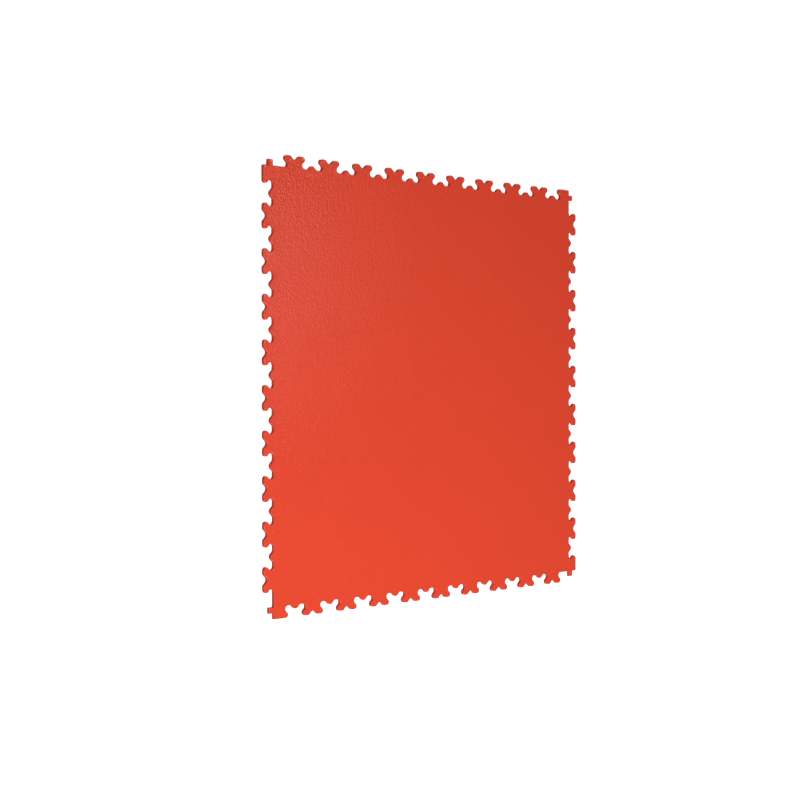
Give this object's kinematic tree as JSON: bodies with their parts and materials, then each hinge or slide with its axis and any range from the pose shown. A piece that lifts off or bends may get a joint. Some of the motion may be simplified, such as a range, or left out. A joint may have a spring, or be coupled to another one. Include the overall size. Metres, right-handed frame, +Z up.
{
  "type": "interlocking pvc floor tile",
  "caption": "Square moulded floor tile whose four wavy sides of notched tabs and sockets lock into any side of the next tile.",
  "frame": {"origin": "middle of the underside", "axes": "+Z up out of the walking face; +X and +Y square to two neighbouring sides"},
  "size_m": [0.5132, 0.5132, 0.004],
  "materials": {
    "moulded_pvc": "matte"
  },
  "bodies": {
    "root": {"floor_tile": "moulded_pvc"}
  },
  "joints": []
}
